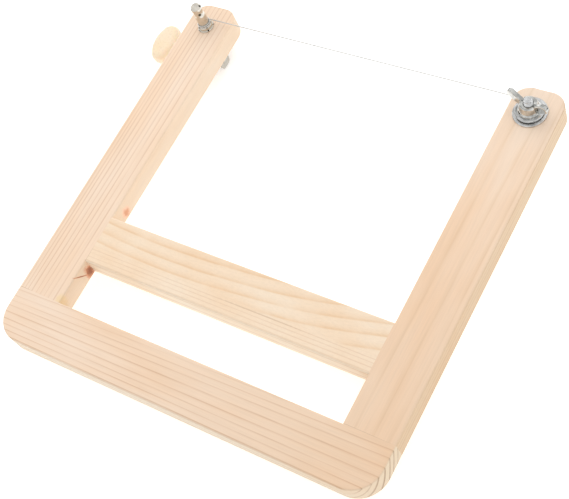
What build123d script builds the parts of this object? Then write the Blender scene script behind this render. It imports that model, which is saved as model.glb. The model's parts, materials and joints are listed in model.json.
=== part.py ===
# Wire butter slicer: a hand-held cutting bow. Four pine strips, glued and dowelled
# edge to edge, make an open frame, and a steel wire is stretched across the two arm
# tips. The left end of the wire is wound on the post of an open-geared machine head.
# The right end is a loop, pinched between two washers under a wing nut.
#
# Frame: millimetres, +X along the rail towards the wing nut, +Y from the rail towards
# the wire, +Z out of the frame's top face. The origin is the centre of the rail's
# underside.
from build123d import *
from math import atan2, cos, degrees, pi, radians, sin, tan
import os

# --- driving dimensions: wooden frame ------------------------------------------
frame_width = 230.0         # over the two arms
frame_length = 226.0        # rail's front edge to the arm tips
strip_width = 28.0
strip_thickness = 13.0
finger_gap = 26.5           # rail to crossbar
rail_corner_radius = 16.0
tip_corner_radius = 9.0
edge_break = 0.8            # sanded edges

dowel_radius = 3.0
dowel_depth = 13.0          # into each strip
dowel_pitch = 13.0
glue_gap = 0.03             # film of glue, and the play of a pressed-in piece

hole_from_tip = 14.8        # both hardware holes, from the arm tips
post_inset = 13.3           # post axis from the frame's left side
bolt_inset = 15.2           # bolt axis from the frame's right side

# --- driving dimensions: machine head ------------------------------------------
gear_module = 0.75
wheel_teeth = 14
wheel_thickness = 4.0
worm_pitch_radius = 2.55
worm_turns = 4.25
worm_depth = 6.0            # worm axis below the wood
pressure_angle = 20.0
thread_play = 0.12          # taken off each flank of the worm's thread
running_gap = 0.05          # radial play of a shaft in its hole

plate_thickness = 1.2
plate_width = 15.0
tongue_width = 8.0
rear_screw_reach = 10.4     # post axis to the screw nearer the tip
front_screw_reach = 18.0    # post axis to the screw nearer the rail
ear_outer = 10.2            # post axis to an ear's outer face
ear_width = 8.0
ear_depth = 10.3            # ear's lower edge below the wood

post_radius = 3.175
post_height = 18.5          # above the wood
string_hole_radius = 1.0
string_hole_drop = 5.2      # below the post's top
string_hole_turn = -37.0    # degrees from +X
ferrule_radius = 4.0        # sleeve in the wood

button_width = 16.0         # along the shaft
button_side_radius = 17.5   # curve of its long sides
button_end_radius = 6.3     # curve of its ends, which sets its length of about 24.5
button_thickness = 9.4
button_reach = 32.8         # post axis to the button's middle
button_tilt = 6.0           # degrees about the shaft, as it was left

# --- driving dimensions: wing-nut clamp and wire --------------------------------
bolt_radius = 2.45
bolt_length = 25.0          # under the head
thread_gap = 0.05
clearance_hole = 2.65
large_washer_radius = 9.0
small_washer_radius = 7.5
stamped_edge = 0.2          # eased outer edge of a washer
nut_turn = -13.0            # degrees, line of the wings against +X
wing_thickness = 2.6

wire_radius = 0.3
loop_radius = 6.0
loop_sweep = 320.0          # degrees round the bolt
winding_turns = 1           # turns that go round with the post
winding_pitch = 0.64
still_turn_sweep = 320.0    # degrees of the lowest turn, which stays with the wire
washer_run = 14.0           # straight wire over the washer, before its loop

# --- places worked out from them ------------------------------------------------
top = strip_thickness
mid_z = strip_thickness / 2
rail_back = strip_width / 2
rail_front = -strip_width / 2
arm_tip = rail_front + frame_length
arm_middle = (frame_width - strip_width) / 2
inner_width = frame_width - 2 * strip_width
crossbar_front = rail_back + finger_gap
crossbar_back = crossbar_front + strip_width
crossbar_middle = (crossbar_front + crossbar_back) / 2

hardware_y = arm_tip - hole_from_tip
post_x = -frame_width / 2 + post_inset
bolt_x = frame_width / 2 - bolt_inset
post_axis = Axis((post_x, hardware_y, 0), (0, 0, 1))
bolt_axis = Axis((bolt_x, hardware_y, 0), (0, 0, 1))
post_top = top + post_height

wheel_pitch_radius = gear_module * wheel_teeth / 2
worm_y = hardware_y - wheel_pitch_radius - worm_pitch_radius
worm_z = -worm_depth
axial_pitch = pi * gear_module
lead_slope = axial_pitch / (2 * pi * worm_pitch_radius)

os.makedirs("parts", exist_ok=True)


def save(piece, name):
    """Label one finished piece and write its STEP file."""
    piece.part.label = name
    export_step(piece.part, f"parts/{name}.step")


def flat_plane(x, y, z):
    """Horizontal sketch plane that faces up."""
    return Plane(origin=(x, y, z), x_dir=(1, 0, 0), z_dir=(0, 0, 1))


def side_plane(x, y, z):
    """Upright sketch plane that faces +X, with its own x along +Y and its y along +Z."""
    return Plane(origin=(x, y, z), x_dir=(0, 1, 0), z_dir=(1, 0, 0))


def front_plane(x, y, z):
    """Upright sketch plane that faces -Y, with its own x along +X and its y along +Z."""
    return Plane(origin=(x, y, z), x_dir=(1, 0, 0), z_dir=(0, -1, 0))


# --- wooden frame ----------------------------------------------------------------
# The strips are rounded and sanded after gluing, so each is cut from one outline.
with BuildPart(mode=Mode.PRIVATE) as frame_blank:
    with BuildSketch(flat_plane(0, rail_front + frame_length / 2, 0)) as outline:
        Rectangle(frame_width, frame_length)
        throat_length = arm_tip - crossbar_back
        with Locations((0, frame_length / 2 - throat_length / 2)):
            Rectangle(inner_width, throat_length, mode=Mode.SUBTRACT)
        fillet(outline.vertices().group_by(Axis.Y)[-1], tip_corner_radius)
        fillet(outline.vertices().group_by(Axis.Y)[0], rail_corner_radius)
        with Locations((0, strip_width + finger_gap / 2 - frame_length / 2)):
            Rectangle(inner_width, finger_gap, mode=Mode.SUBTRACT)
    extrude(amount=strip_thickness)
    fillet(frame_blank.faces().filter_by(Axis.Z).edges(), edge_break)

dowel_row = [(-dowel_pitch / 2, 0), (dowel_pitch / 2, 0)]


def corner_joint(side):
    """Plane of the joint between the rail and one arm; its x runs along the rail."""
    return Plane(origin=(side * arm_middle, rail_back, mid_z), x_dir=(-1, 0, 0), z_dir=(0, 1, 0))


def crossbar_joint(side):
    """Plane of the joint between the crossbar and one arm; its x runs along the arm."""
    return side_plane(side * inner_width / 2, crossbar_middle, mid_z)


def dowel_holes(joint_plane, depth):
    """Pair of dowel holes, positive depth along the plane's normal."""
    with BuildPart(mode=Mode.PRIVATE) as holes:
        with BuildSketch(joint_plane):
            with Locations(*dowel_row):
                Circle(dowel_radius + glue_gap)
        extrude(amount=depth)
    return holes.part


with BuildPart() as bottom_rail:
    add(frame_blank.part)
    with BuildSketch(flat_plane(0, 0, 0)):
        Rectangle(frame_width, strip_width)
    extrude(amount=strip_thickness, mode=Mode.INTERSECT)
    for side in (-1, 1):
        add(dowel_holes(corner_joint(side), -dowel_depth), mode=Mode.SUBTRACT)

with BuildPart() as crossbar:
    add(frame_blank.part)
    with BuildSketch(flat_plane(0, crossbar_middle, 0)):
        Rectangle(inner_width, strip_width)
    extrude(amount=strip_thickness, mode=Mode.INTERSECT)
    for side in (-1, 1):
        add(dowel_holes(crossbar_joint(side), -side * dowel_depth), mode=Mode.SUBTRACT)


def plain_arm(side):
    """One arm with its dowel holes; side is -1 for the left arm and 1 for the right."""
    arm_length = arm_tip - rail_back
    with BuildPart(mode=Mode.PRIVATE) as arm:
        add(frame_blank.part)
        with BuildSketch(flat_plane(side * arm_middle, rail_back + arm_length / 2, 0)):
            Rectangle(strip_width, arm_length)
        extrude(amount=strip_thickness, mode=Mode.INTERSECT)
        add(dowel_holes(corner_joint(side), dowel_depth), mode=Mode.SUBTRACT)
        add(dowel_holes(crossbar_joint(side), side * dowel_depth), mode=Mode.SUBTRACT)
    return arm.part


plate_screw_radius = 1.1
plate_screw_length = 9.0    # under the head, plate included
plate_screw_places = [(post_x, hardware_y + rear_screw_reach), (post_x, hardware_y - front_screw_reach)]

with BuildPart() as left_arm:
    add(plain_arm(-1))
    with BuildSketch(flat_plane(post_x, hardware_y, 0)):
        Circle(ferrule_radius + glue_gap)
    extrude(amount=strip_thickness, mode=Mode.SUBTRACT)
    with BuildSketch(Plane.XY):
        with Locations(*plate_screw_places):
            Circle(plate_screw_radius + glue_gap)
    extrude(amount=plate_screw_length, mode=Mode.SUBTRACT)

with BuildPart() as right_arm:
    add(plain_arm(1))
    with BuildSketch(flat_plane(bolt_x, hardware_y, 0)):
        Circle(clearance_hole)
    extrude(amount=strip_thickness, mode=Mode.SUBTRACT)


def dowel_pair(joint_plane):
    """Two beech dowels across a joint, a little shorter than their holes."""
    with BuildPart() as pair:
        with BuildSketch(joint_plane):
            with Locations(*dowel_row):
                Circle(dowel_radius)
        extrude(amount=dowel_depth - 0.5, both=True)
        chamfer(pair.edges().filter_by(GeomType.CIRCLE), 0.6)
    return pair


corner_dowels_left = dowel_pair(corner_joint(-1))
corner_dowels_right = dowel_pair(corner_joint(1))
crossbar_dowels_left = dowel_pair(crossbar_joint(-1))
crossbar_dowels_right = dowel_pair(crossbar_joint(1))

# --- machine head: what is fixed to the arm --------------------------------------
# A pressed steel plate. Its two ears are bent down and carry the worm shaft.
near_journal_radius = 2.0
far_journal_radius = 1.5
ear_inner = ear_outer - plate_thickness
body_rear = hardware_y + 7.0
body_front = worm_y - ear_width / 2

with BuildPart() as tuner_plate:
    with BuildSketch(Plane.XY) as plate_outline:
        with Locations((post_x, (body_rear + body_front) / 2)):
            Rectangle(plate_width, body_rear - body_front)
        with Locations(*plate_screw_places):
            Circle(tongue_width / 2)
        with Locations((post_x, (plate_screw_places[0][1] + plate_screw_places[1][1]) / 2)):
            Rectangle(tongue_width, rear_screw_reach + front_screw_reach)
        fillet(plate_outline.vertices().group_by(Axis.Y)[-1], 2.0)
        with Locations((post_x, worm_y)):
            Rectangle(2 * ear_outer, ear_width)
        with Locations((post_x, hardware_y)):
            Circle(post_radius + running_gap, mode=Mode.SUBTRACT)
        with Locations(*plate_screw_places):
            Circle(plate_screw_radius + 0.15, mode=Mode.SUBTRACT)
    extrude(amount=-plate_thickness)
    for side, bore in ((-1, near_journal_radius), (1, far_journal_radius)):
        with BuildSketch(side_plane(post_x + side * ear_inner, worm_y, -ear_depth / 2)) as ear:
            Rectangle(ear_width, ear_depth)
            fillet(ear.vertices().group_by(Axis.Y)[0], 2.6)
            with Locations((0, worm_z + ear_depth / 2)):
                Circle(bore + running_gap, mode=Mode.SUBTRACT)
        extrude(amount=side * plate_thickness)
    bend_edges = tuner_plate.edges().filter_by(Axis.Y).group_by(Axis.Z)[-1]
    outer_bends = [bend_edges.sort_by(Axis.X)[0], bend_edges.sort_by(Axis.X)[-1]]
    fillet(outer_bends, plate_thickness * 0.9)

# Pan-headed wood screws, driven up into the arm.
screw_head_radius = 2.2
screw_head_height = 1.6
screw_point = 2.4           # length of the tapered point
screw_tip_radius = 0.15
screw_tip_gap = 0.4         # left empty at the end of the pilot hole
cross_slot_length = 2.2
cross_slot_width = 0.5
slot_depth = 0.75

with BuildPart() as tuner_plate_screws:
    for screw_x, screw_y in plate_screw_places:
        with BuildSketch(front_plane(screw_x, screw_y, -plate_thickness)) as screw_section:
            with BuildLine():
                Polyline(
                    (0, -screw_head_height),
                    (screw_head_radius, -screw_head_height),
                    (screw_head_radius, 0),
                    (plate_screw_radius, 0),
                    (plate_screw_radius, plate_screw_length - screw_point),
                    (screw_tip_radius, plate_screw_length - screw_tip_gap),
                    (0, plate_screw_length - screw_tip_gap),
                    close=True,
                )
            make_face()
            chamfer(screw_section.vertices().group_by(Axis.Y)[0].sort_by(Axis.X)[-1], 0.7)
        revolve(axis=Axis((screw_x, screw_y, 0), (0, 0, 1)))
        with BuildSketch(flat_plane(screw_x, screw_y, -plate_thickness - screw_head_height)):
            Rectangle(cross_slot_length, cross_slot_width)
            Rectangle(cross_slot_width, cross_slot_length)
        extrude(amount=slot_depth, mode=Mode.SUBTRACT)

# Ferrule: a sleeve pressed into the wood, with a flange and a rounded collar on top.
ferrule_sleeve = 8.0
flange_radius = 4.8
flange_thickness = 0.9
collar_radius = 4.1
collar_height = 2.8

with BuildPart() as post_ferrule:
    with BuildSketch(front_plane(post_x, hardware_y, top)) as ferrule_section:
        with BuildLine():
            Polyline(
                (post_radius + running_gap, -ferrule_sleeve),
                (ferrule_radius, -ferrule_sleeve),
                (ferrule_radius, 0),
                (flange_radius, 0),
                (flange_radius, flange_thickness),
                (collar_radius, flange_thickness),
                (collar_radius, collar_height),
                (post_radius + running_gap, collar_height),
                close=True,
            )
        make_face()
        chamfer(ferrule_section.vertices().group_by(Axis.Y)[-1].sort_by(Axis.X)[-1], 0.4)
        chamfer(ferrule_section.vertices().group_by(Axis.X)[-1].sort_by(Axis.Y)[-1], 0.3)
    revolve(axis=post_axis)

# --- machine head: post and its wheel --------------------------------------------
wheel_top = worm_z + wheel_thickness / 2
wheel_bottom = worm_z - wheel_thickness / 2
seat_half = 2.2             # half the distance across the post's two flats
string_hole_z = post_top - string_hole_drop
wheel_screw_radius = 1.0

with BuildPart() as string_post:
    with BuildSketch(flat_plane(post_x, hardware_y, wheel_bottom)):
        Circle(post_radius - glue_gap)
        Rectangle(2 * post_radius, 2 * seat_half, mode=Mode.INTERSECT)
    extrude(amount=wheel_thickness)
    with BuildSketch(front_plane(post_x, hardware_y, 0)) as post_section:
        with BuildLine():
            neck = post_radius - 0.35
            Polyline(
                (0, wheel_top),
                (post_radius, wheel_top),
                (post_radius, running_gap),
                (post_radius + 0.6, running_gap),
                (post_radius + 0.6, 2.0),
                (post_radius, 2.6),
                (post_radius, string_hole_z - 2.6),
            )
            ThreePointArc(
                (post_radius, string_hole_z - 2.6),
                (neck, string_hole_z),
                (post_radius, string_hole_z + 2.6),
            )
            Polyline(
                (post_radius, string_hole_z + 2.6),
                (post_radius, post_top - 1.1),
                (post_radius - 0.9, post_top),
                (0, post_top),
                (0, wheel_top),
            )
        make_face()
    revolve(axis=post_axis)
    hole_plane = Plane(
        origin=(post_x, hardware_y, string_hole_z),
        x_dir=(0, 0, 1),
        z_dir=(cos(radians(string_hole_turn)), sin(radians(string_hole_turn)), 0),
    )
    with BuildSketch(hole_plane):
        Circle(string_hole_radius)
    extrude(amount=post_radius + 1, both=True, mode=Mode.SUBTRACT)
    with BuildSketch(flat_plane(post_x, hardware_y, wheel_bottom)):
        Circle(wheel_screw_radius + glue_gap)
    extrude(amount=6.0, mode=Mode.SUBTRACT)

# The wheel's teeth are involute in the plane of the worm's axis, and slant by the
# worm's lead. A boss above the teeth runs against the plate.
wheel_root = wheel_pitch_radius - 1.25 * gear_module
wheel_tip = wheel_pitch_radius + gear_module
base_radius = wheel_pitch_radius * cos(radians(pressure_angle))


def involute(radius):
    """Involute function at a radius, zero inside the base circle."""
    if radius <= base_radius:
        return 0.0
    slope = (radius**2 - base_radius**2) ** 0.5 / base_radius
    return slope - atan2(slope, 1)


def flank_point(radius):
    """Point of a tooth gap's side at a radius of the wheel; the gap faces the worm."""
    angle = pi / (2 * wheel_teeth) + involute(radius) - involute(wheel_pitch_radius)
    return radius * sin(angle), -radius * cos(angle)


with BuildPart(mode=Mode.PRIVATE) as tooth_gap:
    with BuildSketch(flat_plane(0, 0, 0)):
        with BuildLine():
            outside = wheel_tip + 0.4
            flank_radii = [wheel_root, base_radius, wheel_pitch_radius, wheel_tip, outside]
            flank = [flank_point(radius) for radius in flank_radii]
            mirrored_flank = [(-x, y) for x, y in reversed(flank)]
            Polyline(*flank, *mirrored_flank, close=True)
        make_face()
    extrude(amount=wheel_thickness, dir=(lead_slope, 0, 1), both=True)

with BuildPart() as worm_wheel:
    boss_radius = 4.3
    boss_top = -plate_thickness - running_gap
    with BuildSketch(flat_plane(post_x, hardware_y, wheel_bottom)):
        Circle(wheel_tip)
    extrude(amount=wheel_thickness)
    with Locations((post_x, hardware_y, worm_z)):
        with PolarLocations(0, wheel_teeth):
            add(tooth_gap.part, mode=Mode.SUBTRACT)
    with BuildSketch(flat_plane(post_x, hardware_y, wheel_top)):
        Circle(boss_radius)
    extrude(amount=boss_top - wheel_top)
    with BuildSketch(flat_plane(post_x, hardware_y, wheel_bottom)):
        Circle(post_radius)
        Rectangle(2 * post_radius, 2 * (seat_half + glue_gap), mode=Mode.INTERSECT)
    extrude(amount=wheel_thickness, mode=Mode.SUBTRACT)
    with BuildSketch(flat_plane(post_x, hardware_y, wheel_top)):
        Circle(post_radius + glue_gap)
    extrude(amount=boss_top - wheel_top, mode=Mode.SUBTRACT)

with BuildPart() as wheel_screw:
    head_radius = 2.6
    head_height = 1.5
    with BuildSketch(front_plane(post_x, hardware_y, wheel_bottom)) as wheel_screw_section:
        with BuildLine():
            Polyline(
                (0, -head_height),
                (head_radius, -head_height),
                (head_radius, 0),
                (wheel_screw_radius, 0),
                (wheel_screw_radius, 5.0),
                (0, 5.0),
                close=True,
            )
        make_face()
        chamfer(wheel_screw_section.vertices().group_by(Axis.Y)[0].sort_by(Axis.X)[-1], 0.5)
    revolve(axis=post_axis)
    with BuildSketch(flat_plane(post_x, hardware_y, wheel_bottom - head_height)):
        Rectangle(2 * head_radius + 1, 0.6)
    extrude(amount=slot_depth, mode=Mode.SUBTRACT)

# --- machine head: worm shaft and button ------------------------------------------
worm_root = worm_pitch_radius - 1.2 * gear_module
worm_crest = worm_pitch_radius + 0.95 * gear_module
shoulder_radius = 2.7
shoulder_end = ear_inner - running_gap
shaft_tip = button_reach + 3.0
tip_half = 1.45             # half the distance across the flats inside the button
worm_half = worm_turns * axial_pitch / 2
neck_start = 21.5           # post axis to the button's neck


def shaft_tip_section(play):
    """Flatted end of the shaft, or with play the hole in the button."""
    with BuildSketch(mode=Mode.PRIVATE) as section:
        Circle(near_journal_radius + play)
        Rectangle(2 * (near_journal_radius + play), 2 * (tip_half + play), mode=Mode.INTERSECT)
    return section.sketch


with BuildPart() as worm_shaft:
    with BuildSketch(front_plane(post_x, worm_y, worm_z)):
        with BuildLine():
            Polyline(
                (ear_outer + 0.5, 0),
                (ear_outer + 0.5, far_journal_radius - 0.3),
                (ear_outer + 0.2, far_journal_radius),
                (shoulder_end, far_journal_radius),
                (shoulder_end, shoulder_radius),
                (worm_half + 1.2, shoulder_radius),
                (worm_half + 0.2, worm_root),
                (-worm_half - 0.2, worm_root),
                (-worm_half - 1.2, shoulder_radius),
                (-shoulder_end, shoulder_radius),
                (-shoulder_end, near_journal_radius),
                (-neck_start - 0.5, near_journal_radius),
                (-neck_start - 0.5, 0),
                close=True,
            )
        make_face()
    revolve(axis=Axis((post_x, worm_y, worm_z), (1, 0, 0)))
    with BuildSketch(side_plane(post_x - neck_start - 0.5, worm_y, worm_z).rotated((0, 0, button_tilt))):
        add(shaft_tip_section(0))
    extrude(amount=-(shaft_tip - neck_start - 0.5))
    # One thread passes the wheel's side at the post's own x, midway along the worm.
    thread_start = (post_x - worm_half, worm_y, worm_z)
    with BuildLine(mode=Mode.PRIVATE) as thread_path:
        Helix(axial_pitch, 2 * worm_half, worm_pitch_radius, center=thread_start, direction=(1, 0, 0))
    first_point = thread_path.line @ 0
    start_angle = degrees(atan2(first_point.Z - worm_z, first_point.Y - worm_y))
    angle_at_post = start_angle + worm_turns / 2 * 360
    thread_path_in_mesh = thread_path.line.rotate(Axis((post_x, worm_y, worm_z), (1, 0, 0)), -angle_at_post)
    flank_slope = tan(radians(pressure_angle))
    pitch_half = axial_pitch / 4 - thread_play
    thread_footing = 0.15   # how far the thread's profile reaches into the shaft
    root_reach = worm_root - thread_footing - worm_pitch_radius
    crest_reach = worm_crest - worm_pitch_radius
    thread_root_half = pitch_half - root_reach * flank_slope
    thread_crest_half = pitch_half - crest_reach * flank_slope
    mesh_point = thread_path_in_mesh @ 0
    outward = (Vector(0, mesh_point.Y - worm_y, mesh_point.Z - worm_z)).normalized()
    with BuildSketch(Plane(origin=mesh_point, x_dir=outward, z_dir=outward.cross(Vector(1, 0, 0)))):
        with BuildLine():
            Polyline(
                (root_reach, -thread_root_half),
                (crest_reach, -thread_crest_half),
                (crest_reach, thread_crest_half),
                (root_reach, thread_root_half),
                close=True,
            )
        make_face()
    sweep(path=thread_path_in_mesh, is_frenet=True)

# Moulded button: an oval pebble on a short round neck, pressed on the flatted tip.
with BuildPart() as tuner_button:
    button_middle = Plane(
        origin=(post_x - button_reach, worm_y, worm_z), x_dir=(1, 0, 0), z_dir=(0, 0, 1)
    ).rotated((button_tilt, 0, 0))
    with BuildSketch(button_middle) as button_oval:
        side_centre = button_side_radius - button_width / 2
        with Locations((-side_centre, 0)):
            Circle(button_side_radius)
        with Locations((side_centre, 0)):
            Circle(button_side_radius, mode=Mode.INTERSECT)
        fillet(button_oval.vertices(), button_end_radius)
    extrude(amount=button_thickness / 2, both=True)
    fillet(tuner_button.edges(), button_thickness / 2 - 0.7)
    with BuildSketch(front_plane(post_x, worm_y, worm_z)):
        with BuildLine():
            inner_end = -button_reach + button_width / 2
            Polyline(
                (inner_end - 2.5, 0),
                (-neck_start, 0),
                (-neck_start, 3.0),
                (-neck_start - 0.6, 3.3),
                (inner_end - 2.5, 3.8),
                close=True,
            )
        make_face()
    revolve(axis=Axis((post_x, worm_y, worm_z), (1, 0, 0)))
    with BuildSketch(side_plane(post_x - neck_start, worm_y, worm_z)):
        Circle(near_journal_radius + glue_gap)
    extrude(amount=-0.5, mode=Mode.SUBTRACT)
    with BuildSketch(side_plane(post_x - neck_start - 0.5, worm_y, worm_z).rotated((0, 0, button_tilt))):
        add(shaft_tip_section(glue_gap))
    extrude(amount=-(shaft_tip - neck_start), mode=Mode.SUBTRACT)

# --- wing-nut clamp ---------------------------------------------------------------
washer_gap = 0.01
large_washer_thickness = 1.0
small_washer_thickness = 1.2
loop_z = top + large_washer_thickness + washer_gap + wire_radius
clamp_washer_bottom = loop_z + wire_radius + washer_gap
nut_bottom = clamp_washer_bottom + small_washer_thickness + washer_gap


def washer(radius, thickness, bottom):
    """Round washer on the bolt, with its stamped edges eased."""
    with BuildPart() as ring:
        with BuildSketch(flat_plane(bolt_x, hardware_y, bottom)):
            Circle(radius)
            Circle(clearance_hole, mode=Mode.SUBTRACT)
        extrude(amount=thickness)
        chamfer(ring.edges().filter_by(GeomType.CIRCLE).group_by(SortBy.RADIUS)[-1], stamped_edge)
    return ring


large_washer = washer(large_washer_radius, large_washer_thickness, top)
clamp_washer = washer(small_washer_radius, small_washer_thickness, clamp_washer_bottom)
head_washer = washer(small_washer_radius, small_washer_thickness, -small_washer_thickness)

with BuildPart() as clamp_bolt:
    head_across_flats = 8.0
    head_height = 3.5
    with BuildSketch(flat_plane(bolt_x, hardware_y, -small_washer_thickness)):
        RegularPolygon(head_across_flats / 2, 6, major_radius=False)
    extrude(amount=-head_height)
    with BuildSketch(front_plane(bolt_x, hardware_y, -small_washer_thickness)):
        with BuildLine():
            Polyline(
                (0, -head_height),
                (head_across_flats / 2 - 0.1, -head_height),
                (head_across_flats / 2 + 0.8, -head_height + 0.5),
                (head_across_flats / 2 + 0.8, bolt_length),
                (0, bolt_length),
                close=True,
            )
        make_face()
    revolve(axis=bolt_axis, mode=Mode.INTERSECT)
    with BuildSketch(flat_plane(bolt_x, hardware_y, -small_washer_thickness)):
        Circle(bolt_radius)
    extrude(amount=bolt_length)
    chamfer(clamp_bolt.edges().group_by(Axis.Z)[-1], 0.5)

# Cast wing nut: a tapered hub with a foot, and two round-ended wings that rise outwards.
hub_height = 5.6
wing_direction = (cos(radians(nut_turn)), sin(radians(nut_turn)), 0)
wing_normal = (sin(radians(nut_turn)), -cos(radians(nut_turn)), 0)
wing_plane = Plane(origin=(bolt_x, hardware_y, nut_bottom), x_dir=wing_direction, z_dir=wing_normal)


def wing(side):
    """One rounded wing; side is -1 or 1 along the line of the wings."""
    with BuildPart(mode=Mode.PRIVATE) as blade:
        with BuildSketch(wing_plane):
            with Locations((side * 3.4, 3.1)):
                Circle(2.4)
            with Locations((side * 9.8, 7.6)):
                Circle(2.6)
            make_hull()
        extrude(amount=wing_thickness / 2, both=True)
        fillet(blade.edges(), 0.7)
    return blade.part


with BuildPart() as wing_nut:
    with BuildSketch(front_plane(bolt_x, hardware_y, nut_bottom)) as hub_section:
        with BuildLine():
            Polyline(
                (0, 0),
                (6.0, 0),
                (6.0, 1.0),
                (5.2, 1.8),
                (4.5, hub_height),
                (0, hub_height),
                close=True,
            )
        make_face()
        fillet(hub_section.vertices().group_by(Axis.Y)[-1].sort_by(Axis.X)[-1], 0.6)
    revolve(axis=bolt_axis)
    for side in (-1, 1):
        add(wing(side))
    with BuildSketch(flat_plane(bolt_x, hardware_y, nut_bottom)):
        Circle(bolt_radius + thread_gap)
    extrude(amount=hub_height + 1, mode=Mode.SUBTRACT)

# --- cutting wire ------------------------------------------------------------------
# The straight wire meets the post on its far side from the rail and lies round it in
# one level turn, just above the ferrule. The turns over that one go round with the
# post. A tail rises from their top turn, behind the post, and bends into its hole.
wire_gap = 0.05
winding_radius = post_radius + wire_radius + 0.02
still_turn_z = top + collar_height + wire_radius + wire_gap
winding_bottom = still_turn_z + 2 * wire_radius + wire_gap
tail_bend = 1.2
tail_entry_bend = 0.8
tail_angle = string_hole_turn + 180
winding_sweep = 360 * winding_turns + tail_angle - 90 - degrees(atan2(tail_bend, winding_radius))
riser_radius = (winding_radius**2 + tail_bend**2) ** 0.5


def around_post(radius, angle, height):
    """Point at a radius and angle about the post."""
    x = post_x + radius * cos(radians(angle))
    y = hardware_y + radius * sin(radians(angle))
    return Vector(x, y, height)


with BuildPart() as wire_windings:
    winding_height = winding_pitch * winding_sweep / 360
    with BuildLine() as winding_path:
        turns = Helix(winding_pitch, winding_height, winding_radius, center=(post_x, hardware_y, winding_bottom))
    first_turn = winding_path.line.rotate(post_axis, 90)
    tail_foot = around_post(riser_radius, tail_angle, (first_turn @ 1).Z + tail_bend)
    tail_head = around_post(riser_radius, tail_angle, string_hole_z - tail_entry_bend)
    tail_mouth = around_post(riser_radius - tail_entry_bend, tail_angle, string_hole_z)
    with BuildLine() as tail_path:
        Spline(first_turn @ 1, tail_foot, tangents=(first_turn % 1, (0, 0, 1)))
        Line(tail_foot, tail_head)
        Spline(tail_head, tail_mouth, tangents=((0, 0, 1), tail_mouth - around_post(9, tail_angle, string_hole_z)))
        Line(tail_mouth, around_post(0.8, tail_angle, string_hole_z))
    whole_path = Wire([*first_turn.edges(), *tail_path.line.edges()])
    with BuildSketch(Plane(origin=whole_path @ 0, z_dir=whole_path % 0)):
        Circle(wire_radius)
    sweep(path=whole_path)

with BuildPart() as cutting_wire:
    loop_plane = flat_plane(bolt_x, hardware_y, loop_z)
    still_turn_centre = (post_x - bolt_x, 0, still_turn_z - loop_z)
    span_start = (post_x - bolt_x, winding_radius, still_turn_z - loop_z)
    span_end = (-washer_run, loop_radius, 0)
    with BuildLine(loop_plane) as wire_path:
        CenterArc(still_turn_centre, winding_radius, 90 + still_turn_sweep, -still_turn_sweep)
        Polyline(span_start, span_end, (0, loop_radius, 0))
        CenterArc((0, 0), loop_radius, 90, -loop_sweep)
    with BuildSketch(Plane(origin=wire_path.line @ 0, z_dir=wire_path.line % 0)):
        Circle(wire_radius)
    sweep(path=wire_path.line)

for piece, name in (
    (bottom_rail, "bottom_rail"),
    (left_arm, "left_arm"),
    (right_arm, "right_arm"),
    (crossbar, "crossbar"),
    (corner_dowels_left, "corner_dowels_left"),
    (corner_dowels_right, "corner_dowels_right"),
    (crossbar_dowels_left, "crossbar_dowels_left"),
    (crossbar_dowels_right, "crossbar_dowels_right"),
    (tuner_plate, "tuner_plate"),
    (tuner_plate_screws, "tuner_plate_screws"),
    (post_ferrule, "post_ferrule"),
    (string_post, "string_post"),
    (worm_wheel, "worm_wheel"),
    (wheel_screw, "wheel_screw"),
    (worm_shaft, "worm_shaft"),
    (tuner_button, "tuner_button"),
    (wire_windings, "wire_windings"),
    (cutting_wire, "cutting_wire"),
    (clamp_bolt, "clamp_bolt"),
    (head_washer, "head_washer"),
    (large_washer, "large_washer"),
    (clamp_washer, "clamp_washer"),
    (wing_nut, "wing_nut"),
):
    save(piece, name)
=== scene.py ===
"""Looks of a wire butter slicer: a pine frame, a cutting wire, a machine head and a wing-nut clamp."""

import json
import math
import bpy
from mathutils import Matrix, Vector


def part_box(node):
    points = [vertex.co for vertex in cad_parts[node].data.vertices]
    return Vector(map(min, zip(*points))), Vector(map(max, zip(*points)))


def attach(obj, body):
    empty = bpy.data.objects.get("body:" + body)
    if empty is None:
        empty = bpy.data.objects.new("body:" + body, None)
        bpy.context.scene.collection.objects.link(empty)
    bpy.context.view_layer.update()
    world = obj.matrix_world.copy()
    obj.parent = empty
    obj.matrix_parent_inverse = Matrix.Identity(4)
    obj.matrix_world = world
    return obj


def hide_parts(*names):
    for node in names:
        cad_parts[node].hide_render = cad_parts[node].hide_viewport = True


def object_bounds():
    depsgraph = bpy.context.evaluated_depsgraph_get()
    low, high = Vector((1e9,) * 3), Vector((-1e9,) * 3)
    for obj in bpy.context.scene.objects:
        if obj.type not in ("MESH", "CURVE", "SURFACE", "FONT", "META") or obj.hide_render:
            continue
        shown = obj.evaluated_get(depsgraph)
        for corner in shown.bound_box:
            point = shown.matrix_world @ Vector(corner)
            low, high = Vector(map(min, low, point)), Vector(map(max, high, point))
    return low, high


bl_info = {
    "name": "Wire Butter Slicer",
    "version": (1, 0, 0),
    "blender": (4, 5, 0),
    "location": "3D View > Sidebar > Butter Slicer",
    "description": "Finishes the pine frame, the wire and the plated fittings of a wire butter slicer",
    "category": "Object",
}

import bmesh
import bpy
from mathutils import Quaternion, Vector

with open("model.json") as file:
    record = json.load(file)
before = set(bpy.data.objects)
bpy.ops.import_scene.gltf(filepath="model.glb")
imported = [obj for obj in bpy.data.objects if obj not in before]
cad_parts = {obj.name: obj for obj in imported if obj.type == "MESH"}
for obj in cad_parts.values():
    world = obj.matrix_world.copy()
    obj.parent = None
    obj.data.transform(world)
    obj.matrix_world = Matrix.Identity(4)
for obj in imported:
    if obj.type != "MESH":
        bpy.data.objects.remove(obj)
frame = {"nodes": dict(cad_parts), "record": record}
CAD_LOW, CAD_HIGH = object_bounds()

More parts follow.
